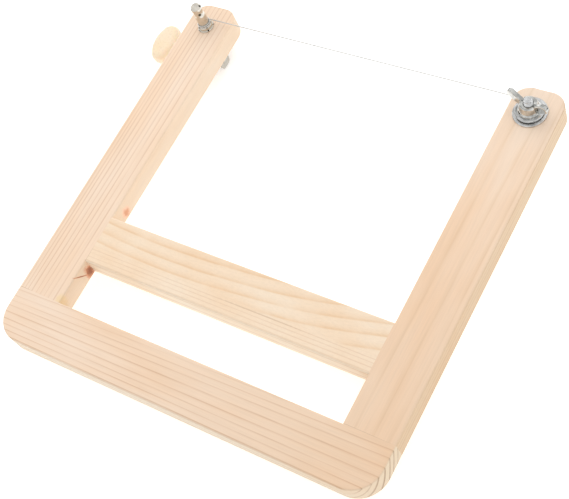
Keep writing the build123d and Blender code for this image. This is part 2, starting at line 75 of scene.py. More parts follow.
MM = 0.001
NODES = frame["nodes"]
BODIES = {
    node: body
    for body, nodes in frame["record"]["behaviour"]["bodies"].items()
    for node in nodes
}

# The strips' faces, in millimetres, as the patterns use them.
RAIL_LOW, RAIL_HIGH = (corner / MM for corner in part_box("bottom_rail"))
LEFT_LOW, LEFT_HIGH = (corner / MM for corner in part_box("left_arm"))
RIGHT_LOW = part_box("right_arm")[0] / MM
BAR_LOW, BAR_HIGH = (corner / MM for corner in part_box("crossbar"))
WOOD_TOP = RAIL_HIGH.z


def to_linear(hex_colour):
    """Linear RGBA of an sRGB hex colour."""
    channels = [int(hex_colour[i : i + 2], 16) / 255 for i in (1, 3, 5)]
    linear = [c / 12.92 if c <= 0.04045 else ((c + 0.055) / 1.055) ** 2.4 for c in channels]
    return (*linear, 1.0)


def shade(colour, *factors):
    """RGBA colour times one factor, or times one factor a channel."""
    factors = factors * 3 if len(factors) == 1 else factors
    return (*(channel * factor for channel, factor in zip(colour, factors)), 1.0)


def grey(level):
    """RGBA grey of a linear level."""
    return (level, level, level, 1.0)


# --- settings --------------------------------------------------------------------


def colour_setting(name, description, hex_colour):
    """A colour property whose default is an sRGB hex value."""
    return bpy.props.FloatVectorProperty(
        name=name,
        description=description,
        subtype="COLOR",
        size=4,
        min=0.0,
        max=1.0,
        default=to_linear(hex_colour),
    )


def length_setting(name, description, millimetres):
    """A length property whose default is given in millimetres."""
    return bpy.props.FloatProperty(
        name=name,
        description=description,
        subtype="DISTANCE",
        unit="LENGTH",
        precision=5,
        min=0.0,
        default=millimetres * MM,
    )


def share_setting(name, description, share):
    """A property between 0 and 1."""
    return bpy.props.FloatProperty(
        name=name, description=description, subtype="FACTOR", min=0.0, max=1.0, default=share
    )


class PineSettings(bpy.types.PropertyGroup):
    """Colours and growth of the pine strips."""

    earlywood: colour_setting("Earlywood", "Pale wood that grows in spring", "#F8E1CB")
    latewood: colour_setting("Latewood", "Darker line that closes each year's ring", "#CFA681")
    warm_tint: colour_setting("Warm tint", "Slow drift of the pale wood towards orange", "#F9E0C0")
    soft_latewood: colour_setting("Soft latewood", "Latewood cut at a low angle, which is paler", "#EDD3B7")
    # Painted shade: the right arm's sides take a darker pale wood, for the side that faces away from the key
    # lamp.
    side_tone: colour_setting("Right arm sides", "Deeper tone of sides whose rings lie close", "#E6D1B5")
    left_side: colour_setting("Left arm sides", "Clear wood of the left arm's sides", "#F1DEC8")
    left_side_late: colour_setting("Left arm side bands", "Faint bands on the left arm's sides", "#EED6BB")
    # Painted light: the rail's long sides take a paler, yellower wood, for the light that falls on them from
    # the front.
    rail_side_painted_light: colour_setting("Rail sides", "Paler, yellower wood of the rail's long sides", "#F3E6D3")
    # Painted shade: the wood darkens towards the near right corner, for the lamps' light falling off there.
    corner_falloff_shade: colour_setting("Corner tone", "Slight deepening towards the near right corner", "#F8F1E8")
    bar_earlywood: colour_setting("Crossbar earlywood", "Pale wood of the crossbar's board", "#F9E4CB")
    bar_bands: colour_setting("Crossbar bands", "Broad resin-rich bands of the crossbar's board", "#ECC9A0")
    # Painted light: the crossbar's front and back faces take a paler wood, for more light on them than the
    # narrow gap lets in.
    bar_side_painted_light: colour_setting("Crossbar sides", "Clear wood of the crossbar's sawn sides", "#FBF2E2")
    end_earlywood: colour_setting("End grain", "Duller tone of the faces cut across the fibres", "#E4D2B6")
    end_latewood: colour_setting("End grain latewood", "Latewood where it is cut across", "#96704E")
    knot_heart: colour_setting("Knot heart", "Middle of a sound knot, and its cracks", "#A0664A")
    knot_rim: colour_setting("Knot rim", "Reddish rim of a knot", "#E0A482")
    knot_halo: colour_setting("Knot halo", "Pinkish wood about a small knot", "#F5D0B4")
    glue: colour_setting("Glue", "Dried glue at the inner corner", "#F3D497")
    joint: colour_setting("Joint", "Shadow line of a glued joint", "#B89878")
    rail_spacing: length_setting("Rail ring spacing", "Distance between the rail's growth rings", 3.09)
    drift: share_setting("Drift", "Strength of the warm tint", 0.4)
    fibre: share_setting("Fibre", "Strength of the fine streaks along the strip", 0.35)
    roughness: share_setting("Roughness", "Roughness of the sanded, bare wood", 0.62)


class FittingSettings(bpy.types.PropertyGroup):
    """Colours and details of the metal and plastic fittings."""

    chrome: colour_setting("Chrome", "Bright, slightly warm chrome of the post and its ferrule", "#DBD5CA")
    nickel: colour_setting("Nickel", "Bright nickel plate of the machine head", "#C8C6BE")
    zinc: colour_setting("Zinc plate", "Pale zinc plate of the bolt and washers", "#E3E4E4")
    casting: colour_setting("Cast zinc", "Plated casting of the wing nut", "#D9D9D5")
    brass: colour_setting("Brass", "Machined brass of the worm wheel", "#CDB06A")
    wire: colour_setting("Wire", "Drawn steel of the cutting wire", "#DDDCD9")
    button: colour_setting("Button", "Cream plastic of the tuning button", "#F9E5CA")
    beech: colour_setting("Beech", "Turned beech of the dowels", "#DDB98E")
    thread_pitch: length_setting("Thread pitch", "Rise of the bolt's thread in one turn", 0.8)
    thread_depth: length_setting("Thread depth", "Height of the bolt's thread over its root", 0.4)
    cast_voxel: length_setting("Casting detail", "Size of the voxels that soften the wing nut", 0.16)


class StudioSettings(bpy.types.PropertyGroup):
    """Floor, light and camera."""

    floor_gap: length_setting("Floor gap", "Floor's distance below the lowest piece", 0.1)
    sky_strength: bpy.props.FloatProperty(
        name="Sky strength", description="Even light from all sides", min=0.0, default=0.72
    )
    floor_glow: bpy.props.FloatProperty(
        name="Floor glow", description="Light that the floor gives by itself", min=0.0, default=0.45
    )
    key_power: bpy.props.FloatProperty(
        name="Key power", description="Power of the large soft lamp", unit="POWER", min=0.0, default=5.3
    )
    fill_power: bpy.props.FloatProperty(
        name="Fill power", description="Power of the low right lamp", unit="POWER", min=0.0, default=0.25
    )
    lens: bpy.props.FloatProperty(
        name="Lens", description="Focal length of the camera", subtype="DISTANCE_CAMERA", default=77.22
    )


class ButterSlicerSettings(bpy.types.PropertyGroup):
    """Everything that a user of the butter slicer would change."""

    pine: bpy.props.PointerProperty(type=PineSettings, name="Pine", description="Wood of the frame")
    fittings: bpy.props.PointerProperty(
        type=FittingSettings, name="Fittings", description="Metal and plastic pieces"
    )
    studio: bpy.props.PointerProperty(
        type=StudioSettings, name="Studio", description="Floor, light and camera"
    )


# --- nodes and pieces ------------------------------------------------------------


def add_node(tree, kind, inputs=None, stops=(), **settings):
    """Adds a node with its settings; an input takes a value, a socket, or a node for its first output."""
    node = tree.nodes.new(kind)
    for name, value in settings.items():
        setattr(node, name, value)
    for socket, value in (inputs or {}).items():
        if isinstance(value, bpy.types.Node):
            value = value.outputs[0]
        if isinstance(value, bpy.types.NodeSocket):
            tree.links.new(value, node.inputs[socket])
        else:
            node.inputs[socket].default_value = value
    if stops:
        elements = node.color_ramp.elements
        elements[0].position, elements[1].position = stops[0][0], stops[-1][0]
        for position, _ in stops[1:-1]:
            elements.new(position)
        for element, (_, colour) in zip(elements, stops):
            element.color = colour
    return node


def new_material(name):
    """A material with its shader, and its object coordinates in millimetres."""
    material = bpy.data.materials.new(name)
    material.use_nodes = True
    tree = material.node_tree
    tree.nodes.clear()
    shader = add_node(tree, "ShaderNodeBsdfPrincipled")
    add_node(tree, "ShaderNodeOutputMaterial", {"Surface": shader})
    coordinates = add_node(tree, "ShaderNodeTexCoord")
    place = add_node(
        tree,
        "ShaderNodeVectorMath",
        {0: coordinates.outputs["Object"], "Scale": 1 / MM},
        operation="SCALE",
    )
    return material, tree, shader, place


def dress(node, material):
    """Gives a CAD node a material."""
    piece = NODES[node]
    if not piece.material_slots:
        piece.data.materials.append(material)
    for material_slot in piece.material_slots:
        material_slot.material = material


def stand_in(piece, material, node):
    """Lets a finished piece stand for a CAD node, on the node's body."""
    piece.data.materials.clear()
    piece.data.materials.append(material)
    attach(piece, BODIES[node])
    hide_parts(node)


def mesh_piece(name, shape):
    """Object of a finished bmesh, at the origin."""
    mesh = bpy.data.meshes.new(name)
    shape.to_mesh(mesh)
    shape.free()
    piece = bpy.data.objects.new(name, mesh)
    bpy.context.scene.collection.objects.link(piece)
    return piece


def merged_node(node):
    """A CAD node's shape with its loose triangles joined."""
    merge_distance = 0.001 * MM
    shape = bmesh.new()
    shape.from_mesh(NODES[node].data)
    bmesh.ops.remove_doubles(shape, verts=shape.verts, dist=merge_distance)
    return shape


def bake_modifiers(piece):
    """Turns a piece's modifiers into plain mesh."""
    bpy.context.view_layer.update()
    depsgraph = bpy.context.evaluated_depsgraph_get()
    mesh = bpy.data.meshes.new_from_object(piece.evaluated_get(depsgraph))
    if not mesh.polygons:
        raise RuntimeError(f"{piece.name} came out empty")
    piece.modifiers.clear()
    piece.data = mesh


def smooth_piece(name, shape, sharp_degrees=32):
    """Piece whose curved faces are smooth, with normals that follow its largest faces."""
    for face in shape.faces:
        face.smooth = True
    for edge in shape.edges:
        edge.smooth = edge.is_manifold and edge.calc_face_angle(0) < math.radians(sharp_degrees)
    piece = mesh_piece(name, shape)
    normals = piece.modifiers.new("normals", "WEIGHTED_NORMAL")
    normals.keep_sharp = True
    bake_modifiers(piece)
    return piece


def smooth_stand_in(node, material, sharp_degrees=32):
    """Smooth copy of a CAD node that stands for it."""
    piece = smooth_piece(f"{node}_finished", merged_node(node), sharp_degrees)
    stand_in(piece, material, node)


# --- sanded pine -----------------------------------------------------------------
# Sawn and sanded Scots pine, left bare: pale spring wood, thin warm lines where each
# ring closes, fine streaks along the strip. The rings are shells about a pith, so
# faces, rounded corners and end grain all cut the same rings. A pith is given by a
# point on it in millimetres, and by its heading and dip.

ALONG_X = 0.0
ALONG_Y = math.radians(90)


def growth_rings(
    tree,
    place,
    pith,
    heading,
    *,
    dip=0.0,
    spacing,
    reach,
    law=1.0,
    taper=0.0,
    sway=0.3,
    width,
    evenness,
    seed,
):
    """Strength of the ring lines, 0 to 1, and coordinates that run along the pith.

    The rings lie spacing apart at a given reach from the pith. Their number grows with
    the reach to the power law: 1 keeps them evenly apart, more crowds them outwards and
    less spreads them. taper widens the rings along the strip, as a share of their width
    for each millimetre, and leaves the one at the reach straight. sway is about how far
    they wander, in millimetres. width is the share of a ring that darkens. evenness of 1
    gives every year the same strength.
    """
    grain_stretch = (0.15, 1, 1)
    sway_length = 30
    fading_length = 7
    good_year_rate = 0.43
    year_shift = 1.4 * (1 - evenness)
    least_vigour = 0.7 * evenness + 0.15
    fading_contrast = 2.4
    fading_base = -0.35
    strip = add_node(
        tree,
        "ShaderNodeMapping",
        {"Vector": place, "Location": pith, "Rotation": (0, dip, heading)},
        vector_type="TEXTURE",
    )
    drawn_out = add_node(
        tree,
        "ShaderNodeVectorMath",
        {0: strip, 1: grain_stretch, 2: (seed, seed, seed)},
        operation="MULTIPLY_ADD",
    )
    slow = add_node(
        tree,
        "ShaderNodeTexNoise",
        {"Vector": drawn_out, "Scale": 1 / sway_length, "Detail": 2.0},
        normalize=False,
    )
    swayed = add_node(
        tree,
        "ShaderNodeVectorMath",
        {0: slow.outputs["Color"], 1: (0, sway, sway), 2: strip},
        operation="MULTIPLY_ADD",
    )
    across = add_node(tree, "ShaderNodeVectorMath", {0: swayed, 1: (0, 1, 1)}, operation="MULTIPLY")
    distance = add_node(tree, "ShaderNodeVectorMath", {0: across}, operation="LENGTH").outputs["Value"]
    along = add_node(tree, "ShaderNodeSeparateXYZ", {0: strip}).outputs["X"]
    widening = add_node(
        tree, "ShaderNodeMath", {0: along, 1: taper, 2: 1.0}, operation="MULTIPLY_ADD"
    )
    beyond = add_node(tree, "ShaderNodeMath", {0: distance, 1: reach}, operation="SUBTRACT")
    beyond = add_node(tree, "ShaderNodeMath", {0: beyond, 1: widening}, operation="DIVIDE")
    share = add_node(
        tree, "ShaderNodeMath", {0: beyond, 1: 1 / reach, 2: 1.0}, operation="MULTIPLY_ADD"
    )
    growth = add_node(tree, "ShaderNodeMath", {0: share, 1: law}, operation="POWER")
    rings_at_reach = reach / (law * spacing)
    rings = add_node(tree, "ShaderNodeMath", {0: growth, 1: rings_at_reach}, operation="MULTIPLY")
    good_years = add_node(
        tree,
        "ShaderNodeTexNoise",
        {"W": rings, "Scale": good_year_rate, "Detail": 0.0},
        noise_dimensions="1D",
    )
    rings = add_node(
        tree, "ShaderNodeMath", {0: good_years, 1: year_shift, 2: rings}, operation="MULTIPLY_ADD"
    )
    season = add_node(tree, "ShaderNodeMath", {0: rings}, operation="FRACT")
    year = add_node(tree, "ShaderNodeMath", {0: rings, 1: seed}, operation="ADD")
    year = add_node(tree, "ShaderNodeMath", {0: year}, operation="FLOOR")
    profile = add_node(
        tree,
        "ShaderNodeValToRGB",
        {0: season},
        stops=[
            (0.0, grey(0.2)),
            (0.06, grey(0.0)),
            (1 - width, grey(0.0)),
            (1 - 0.45 * width, grey(0.35)),
            (0.93, grey(1.0)),
            (1.0, grey(0.2)),
        ],
    )
    vigour = add_node(tree, "ShaderNodeTexWhiteNoise", {"W": year}, noise_dimensions="1D")
    vigour = add_node(
        tree, "ShaderNodeMath", {0: vigour, 1: 1 - evenness, 2: least_vigour}, operation="MULTIPLY_ADD"
    )
    fading = add_node(
        tree, "ShaderNodeTexNoise", {"Vector": drawn_out, "Scale": 1 / fading_length, "Detail": 2.0}
    )
    fading = add_node(
        tree,
        "ShaderNodeMath",
        {0: fading, 1: fading_contrast, 2: fading_base},
        operation="MULTIPLY_ADD",
        use_clamp=True,
    )
    lines = add_node(tree, "ShaderNodeMath", {0: profile, 1: vigour}, operation="MULTIPLY")
    lines = add_node(tree, "ShaderNodeMath", {0: lines, 1: fading}, operation="MULTIPLY", use_clamp=True)
    return lines, strip


def sanded_wood(tree, lines, strip, early, late, pine):
    """Colour of sanded wood, and the height of its grain.

    The streaks are bundles of fibres. Single ones are too fine to show.
    """
    cloud_length = 22
    fibres_per_mm = 1.1
    colour = add_node(
        tree, "ShaderNodeMix", {"Factor": lines, 6: early, 7: late}, data_type="RGBA"
    ).outputs[2]
    drift = add_node(tree, "ShaderNodeVectorMath", {0: strip, 1: (0.25, 1, 1)}, operation="MULTIPLY")
    drift = add_node(tree, "ShaderNodeTexNoise", {"Vector": drift, "Scale": 1 / cloud_length, "Detail": 3.0})
    drift = add_node(
        tree, "ShaderNodeMapRange", {"Value": drift, "From Min": 0.4, "From Max": 0.7, "To Max": pine.drift}
    )
    colour = add_node(
        tree,
        "ShaderNodeMix",
        {"Factor": drift, 6: colour, 7: pine.warm_tint},
        data_type="RGBA",
        blend_type="MULTIPLY",
    ).outputs[2]
    fibre_place = add_node(tree, "ShaderNodeVectorMath", {0: strip, 1: (0.04, 1, 1)}, operation="MULTIPLY")
    fibres = add_node(
        tree,
        "ShaderNodeTexNoise",
        {"Vector": fibre_place, "Scale": fibres_per_mm, "Detail": 3.0, "Roughness": 0.65},
    )
    streaks = add_node(
        tree, "ShaderNodeValToRGB", {0: fibres}, stops=[(0.32, grey(0.86)), (0.6, grey(1.0))]
    )
    colour = add_node(
        tree,
        "ShaderNodeMix",
        {"Factor": pine.fibre, 6: colour, 7: streaks},
        data_type="RGBA",
        blend_type="MULTIPLY",
    ).outputs[2]
    height = add_node(tree, "ShaderNodeMath", {0: lines, 1: 0.5, 2: fibres}, operation="MULTIPLY_ADD")
    return colour, height


def squareness(tree, axis):
    """1 on the faces square to an axis, and 0 on those that run along it."""
    normal = add_node(tree, "ShaderNodeTexCoord").outputs["Normal"]
    facing = add_node(tree, "ShaderNodeVectorMath", {0: normal, 1: axis}, operation="DOT_PRODUCT")
    facing = facing.outputs["Value"]
    return add_node(tree, "ShaderNodeMath", {0: facing, 1: facing}, operation="MULTIPLY")


def ramp(tree, place, axis, *, start, end, first, last):
    """Passes from a first value to a last one between two places along an axis."""
    along = add_node(tree, "ShaderNodeSeparateXYZ", {0: place}).outputs[axis]
    spans = {"Value": along, "From Min": start, "From Max": end, "To Min": first, "To Max": last}
    return add_node(tree, "ShaderNodeMapRange", spans).outputs[0]


def side_toned(tree, axis, colour, side_colour):
    """A colour that turns to another on the faces square to an axis."""
    share = squareness(tree, axis)
    return add_node(
        tree, "ShaderNodeMix", {"Factor": share, 6: colour, 7: side_colour}, data_type="RGBA"
    ).outputs[2]


def end_grain(tree, colour, lines, grain_axis, pine):
    """Dulls the faces that cut across the fibres, whose open ends swallow light."""
    dulling = 0.85
    line_law = 0.55
    line_gain = 1.15
    share = squareness(tree, grain_axis)
    cover = add_node(tree, "ShaderNodeMath", {0: share, 1: dulling}, operation="MULTIPLY")
    dull = add_node(
        tree, "ShaderNodeMix", {"Factor": cover, 6: colour, 7: pine.end_earlywood}, data_type="RGBA"
    ).outputs[2]
    depth = add_node(tree, "ShaderNodeMath", {0: lines, 1: line_law}, operation="POWER")
    depth = add_node(tree, "ShaderNodeMath", {0: depth, 1: line_gain}, operation="MULTIPLY", use_clamp=True)
    depth = add_node(tree, "ShaderNodeMath", {0: depth, 1: share}, operation="MULTIPLY")
    return add_node(
        tree, "ShaderNodeMix", {"Factor": depth, 6: dull, 7: pine.end_latewood}, data_type="RGBA"
    ).outputs[2]


def mark(tree, place, colour, centre, radii, heart, rim, *, tilt=0.0, ragged=0.25, strength=1.0):
    """Lays an oval mark over a colour: its middle has one colour and its fading rim another."""
    wobble = add_node(
        tree, "ShaderNodeTexNoise", {"Vector": place, "Scale": 0.6, "Detail": 2.0}, normalize=False
    )
    oval = add_node(
        tree,
        "ShaderNodeMapping",
        {"Vector": place, "Location": centre, "Rotation": (tilt, 0, 0), "Scale": radii},
        vector_type="TEXTURE",
    )
    oval = add_node(
        tree,
        "ShaderNodeVectorMath",
        {0: wobble.outputs["Color"], 1: (ragged, ragged, ragged), 2: oval},
        operation="MULTIPLY_ADD",
    )
    reach = add_node(tree, "ShaderNodeVectorMath", {0: oval}, operation="LENGTH").outputs["Value"]
    tone = add_node(tree, "ShaderNodeValToRGB", {0: reach}, stops=[(0.3, heart), (0.75, rim)])
    cover = add_node(
        tree,
        "ShaderNodeMapRange",
        {"Value": reach, "From Min": 0.6, "From Max": 1.2, "To Min": strength, "To Max": 0.0},
        interpolation_type="SMOOTHSTEP",
    )
    return add_node(
        tree, "ShaderNodeMix", {"Factor": cover, 6: colour, 7: tone}, data_type="RGBA"
    ).outputs[2]


def sand(tree, shader, colour, height, pine):
    """Bare sanded surface: matt, with the grain just proud and a little glossier."""
    grain_height = 0.02 * MM
    grain_gloss = 0.12
    hollow_roughness = pine.roughness + 0.08
    roughness = add_node(
        tree, "ShaderNodeMath", {0: height, 1: -grain_gloss, 2: hollow_roughness}, operation="MULTIPLY_ADD"
    )
    bump = add_node(tree, "ShaderNodeBump", {"Height": height, "Strength": 0.6, "Distance": grain_height})
    tree.links.new(colour, shader.inputs["Base Color"])
    tree.links.new(roughness.outputs[0], shader.inputs["Roughness"])
    tree.links.new(bump.outputs[0], shader.inputs["Normal"])


def joint_line(tree, place, colour, centre, radii, pine):
    """Thin dark line where a glued joint is not quite closed."""
    return mark(tree, place, colour, centre, radii, pine.joint, pine.joint, ragged=0.05, strength=0.5)


def corner_falloff_shading(tree, place, colour, pine):
    """Painted shade: wood that turns slightly darker towards the near right corner, where the light falls
    off.
    """
    corner = (RAIL_HIGH.x, RAIL_LOW.y, 0)
    deep_within = 40.0
    pale_beyond = 200.0
    reach = add_node(
        tree, "ShaderNodeVectorMath", {0: place, 1: corner}, operation="DISTANCE"
    ).outputs["Value"]
    tone = add_node(
        tree,
        "ShaderNodeMapRange",
        {"Value": reach, "From Min": deep_within, "From Max": pale_beyond, "To Min": 1.0, "To Max": 0.0},
    )
    return add_node(
        tree,
        "ShaderNodeMix",
        {"Factor": tone, 6: colour, 7: pine.corner_falloff_shade},
        data_type="RGBA",
        blend_type="MULTIPLY",
    ).outputs[2]


def rail_pine(pine):
    """Rail: rings that lean through its section, so they run along the top and stripe the ends."""
    material, tree, shader, place = new_material("sanded_pine_rail")
    pith = (0, -51.3, 35.4)
    lines, strip = growth_rings(
        tree,
        place,
        pith,
        ALONG_X,
        spacing=pine.rail_spacing / MM,
        reach=45.2,
        law=0.5,
        taper=0.0013,
        width=0.28,
        evenness=0.75,
        seed=3.0,
    )
    # The lines are fainter towards the back edge.
    fading = ramp(tree, place, "Y", start=1.0, end=6.0, first=0.9, last=0.6)
    lines = add_node(tree, "ShaderNodeMath", {0: lines, 1: fading}, operation="MULTIPLY")
    # Painted light: the long sides take the paler side colour, for the light from the front.
    early = side_toned(tree, (0, 1, 0), pine.earlywood, pine.rail_side_painted_light)
    colour, height = sanded_wood(tree, lines, strip, early, pine.latewood, pine)
    # Painted shade: darker towards the near right corner, where the light falls off.
    colour = corner_falloff_shading(tree, place, colour, pine)
    colour = end_grain(tree, colour, lines, (1, 0, 0), pine)
    sand(tree, shader, colour, height, pine)
    return material


def left_arm_pine(pine):
    """Left arm: quarter-sawn, with close rings that spread inwards, two knots and a glue stain."""
    material, tree, shader, place = new_material("sanded_pine_left_arm")
    inner_face = LEFT_HIGH.x
    pith = (LEFT_LOW.x - 23.7, LEFT_LOW.y, 6.0)
    lines, strip = growth_rings(
        tree, place, pith, ALONG_Y, spacing=2.675, reach=35, law=0.2, width=0.32, evenness=0.75, seed=11.0
    )
    # The lines stop short of the inner edge, which is cut along a ring.
    fading = ramp(
        tree, place, "X", start=inner_face - 3.0, end=inner_face - 1.8, first=0.8, last=0.0
    )
    lines = add_node(tree, "ShaderNodeMath", {0: lines, 1: fading}, operation="MULTIPLY")
    early = side_toned(tree, (1, 0, 0), pine.earlywood, pine.left_side)
    late = side_toned(tree, (1, 0, 0), pine.latewood, pine.left_side_late)
    colour, height = sanded_wood(tree, lines, strip, early, late, pine)
    knot = (inner_face, BAR_LOW.y - 2.0, 4.5)
    small_knot = (inner_face, BAR_HIGH.y + 8.5, 4.0)
    crack = (inner_face, BAR_LOW.y - 8.0, 8.6)
    stain = (inner_face, LEFT_LOW.y + 2.0, WOOD_TOP)
    colour = mark(tree, place, colour, knot, (12, 3.8, 5.4), pine.knot_heart, pine.knot_rim)
    colour = mark(tree, place, colour, small_knot, (8, 3.6, 4.8), pine.knot_rim, pine.knot_halo)
    colour = mark(
        tree,
        place,
        colour,
        crack,
        (2.0, 7.0, 0.45),
        pine.knot_heart,
        pine.knot_rim,
        tilt=math.radians(-51),
        ragged=0.1,
    )
    colour = mark(tree, place, colour, stain, (3.6, 3.0, 8.0), pine.glue, pine.glue, strength=0.45)
    colour = joint_line(tree, place, colour, (LEFT_LOW.x, LEFT_LOW.y, WOOD_TOP), (9, 0.35, 4), pine)
    colour = end_grain(tree, colour, lines, (0, 1, 0), pine)
    sand(tree, shader, colour, height, pine)
    return material


def right_arm_pine(pine):
    """Right arm: flat-sawn, with wide bands on its top and close lines on its sides."""
    material, tree, shader, place = new_material("sanded_pine_right_arm")
    pith = (30, 14, -240.9)
    heading = ALONG_Y - math.radians(0.6)
    lines, strip = growth_rings(
        tree, place, pith, heading, spacing=2.5, reach=260, width=0.34, evenness=0.6, seed=29.0
    )
    # Painted shade: the sides square to X take the darker side colour, for the side facing away from the key
    # lamp.
    early = side_toned(tree, (1, 0, 0), pine.earlywood, pine.side_tone)
    late = side_toned(tree, (1, 0, 0), pine.soft_latewood, pine.latewood)
    colour, height = sanded_wood(tree, lines, strip, early, late, pine)
    # Painted shade: darker towards the near right corner, where the light falls off.
    colour = corner_falloff_shading(tree, place, colour, pine)
    colour = joint_line(tree, place, colour, (RIGHT_LOW.x, RIGHT_LOW.y, WOOD_TOP), (28, 0.25, 4), pine)
    colour = end_grain(tree, colour, lines, (0, 1, 0), pine)
    sand(tree, shader, colour, height, pine)
    return material


def crossbar_pine(pine):
    """Crossbar: broad bands climb over its upper side, and close fine lines run along its lower side."""
    material, tree, shader, place = new_material("sanded_pine_crossbar")
    bands_pith = (-45, 153.9, WOOD_TOP)
    bands, strip = growth_rings(
        tree,
        place,
        bands_pith,
        ALONG_X,
        dip=math.radians(24.7),
        spacing=6.1,
        reach=66,
        sway=0.6,
        width=0.6,
        evenness=0.85,
        seed=53.0,
    )
    lines_pith = (0, 110.8, WOOD_TOP - 30)
    close_lines, _ = growth_rings(
        tree, place, lines_pith, ALONG_X, spacing=2.0, reach=65, width=0.35, evenness=0.85, seed=71.0
    )
    close_strength = 0.55
    divide = BAR_LOW.y + 7.5
    upper_side = ramp(tree, place, "Y", start=divide, end=divide + 2.5, first=0.0, last=1.0)
    bands = add_node(tree, "ShaderNodeMath", {0: bands, 1: upper_side}, operation="MULTIPLY")
    lower_side = add_node(
        tree,
        "ShaderNodeMath",
        {0: upper_side, 1: -close_strength, 2: close_strength},
        operation="MULTIPLY_ADD",
    )
    close_lines = add_node(tree, "ShaderNodeMath", {0: close_lines, 1: lower_side}, operation="MULTIPLY")
    # Painted light: the front and back faces take the paler side colour, standing for more light on them.
    early = side_toned(tree, (0, 1, 0), pine.bar_earlywood, pine.bar_side_painted_light)
    colour, height = sanded_wood(tree, bands, strip, early, pine.bar_bands, pine)
    colour = add_node(
        tree, "ShaderNodeMix", {"Factor": close_lines, 6: colour, 7: pine.latewood}, data_type="RGBA"
    ).outputs[2]
    streak = (22, divide + 0.1, WOOD_TOP)
    colour = mark(
        tree, place, colour, streak, (28, 0.4, 3), pine.joint, pine.joint, ragged=0.3, strength=0.28
    )
    colour = joint_line(tree, place, colour, (BAR_LOW.x, BAR_LOW.y, WOOD_TOP), (0.3, 10, 4), pine)
    colour = end_grain(tree, colour, bands, (1, 0, 0), pine)
    sand(tree, shader, colour, height, pine)
    return material


# --- metals, plastic and beech ---------------------------------------------------


def grain_noise(tree, shader, place, *, cycles_per_mm, roughness, height_mm, stretch=(1, 1, 1)):
    """Gives a surface a fine bump, and a roughness that varies between two values.

    Most finishes have a finer grain than this, which is as coarse as it needs to show.
    """
    low, high = roughness
    spread = add_node(tree, "ShaderNodeVectorMath", {0: place, 1: stretch}, operation="MULTIPLY")
    grain = add_node(tree, "ShaderNodeTexNoise", {"Vector": spread, "Scale": cycles_per_mm, "Detail": 3.0})
    varied = add_node(
        tree,
        "ShaderNodeMapRange",
        {"Value": grain, "From Min": 0.3, "From Max": 0.7, "To Min": low, "To Max": high},
    )
    bump = add_node(tree, "ShaderNodeBump", {"Height": grain, "Strength": 0.5, "Distance": height_mm * MM})
    tree.links.new(varied.outputs[0], shader.inputs["Roughness"])
    tree.links.new(bump.outputs[0], shader.inputs["Normal"])


def plated(name, colour, depth, **grain):
    """Metal whose plating drifts between a colour and a darker shade of it."""
    clouds_per_mm = 0.35
    material, tree, shader, place = new_material(name)
    shader.inputs["Metallic"].default_value = 1.0
    grain_noise(tree, shader, place, **grain)
    cloud = add_node(tree, "ShaderNodeTexNoise", {"Vector": place, "Scale": clouds_per_mm, "Detail": 2.0})
    darker = shade(colour, depth)
    tone = add_node(tree, "ShaderNodeValToRGB", {0: cloud}, stops=[(0.35, darker), (0.65, colour)])
    tree.links.new(tone.outputs[0], shader.inputs["Base Color"])
    return material


def polished_chrome(fittings):
    """Chrome over polished steel: mirror-bright, with the faintest haze."""
    return plated(
        "polished_chrome", fittings.chrome, 0.85, cycles_per_mm=1.5, roughness=(0.05, 0.1), height_mm=0.002
    )


def nickel_plate(fittings):
    """Nickel over stamped steel: bright and a little warm, with a soft haze."""
    return plated(
        "bright_nickel_plate",
        fittings.nickel,
        0.85,
        cycles_per_mm=2.5,
        roughness=(0.16, 0.3),
        height_mm=0.008,
    )


def zinc_plate(fittings):
    """Zinc over stamped steel: pale and satin, clouded by handling."""
    return plated(
        "pale_zinc_plate", fittings.zinc, 0.7, cycles_per_mm=3.0, roughness=(0.2, 0.36), height_mm=0.02
    )


def plated_casting(fittings):
    """Plated zinc casting: bright, with the orange-peel skin of the mould."""
    return plated(
        "plated_zinc_casting",
        fittings.casting,
        0.55,
        cycles_per_mm=1.0,
        roughness=(0.06, 0.14),
        height_mm=0.08,
    )


def machined_brass(fittings):
    """Hobbed brass: yellow, with fine tool marks along its axis."""
    return plated(
        "machined_brass",
        fittings.brass,
        0.85,
        cycles_per_mm=4.0,
        roughness=(0.22, 0.34),
        height_mm=0.006,
        stretch=(1, 1, 0.2),
    )


def drawn_steel(fittings):
    """Drawn steel wire: bright, with drawing lines too fine to show, given here as a soft gloss."""
    return plated(
        "drawn_steel_wire",
        fittings.wire,
        0.9,
        cycles_per_mm=3.0,
        roughness=(0.2, 0.3),
        height_mm=0.002,
        stretch=(0.1, 1, 1),
    )


def cream_plastic(fittings):
    """Moulded cream plastic: glossy and slightly translucent, with faint flow clouds."""
    material, tree, shader, place = new_material("moulded_cream_plastic")
    grain_noise(tree, shader, place, cycles_per_mm=0.8, roughness=(0.24, 0.34), height_mm=0.01)
    clouds_per_mm = 0.08
    cloud = add_node(tree, "ShaderNodeTexNoise", {"Vector": place, "Scale": clouds_per_mm, "Detail": 1.0})
    deeper = shade(fittings.button, 1.0, 0.97, 0.92)
    tone = add_node(
        tree, "ShaderNodeValToRGB", {0: cloud}, stops=[(0.35, deeper), (0.65, fittings.button)]
    )
    tree.links.new(tone.outputs[0], shader.inputs["Base Color"])
    shader.inputs["IOR"].default_value = 1.5
    shader.inputs["Subsurface Weight"].default_value = 0.25
    shader.inputs["Subsurface Radius"].default_value = (1.0, 0.7, 0.4)
    shader.inputs["Subsurface Scale"].default_value = 2.0 * MM
    return material


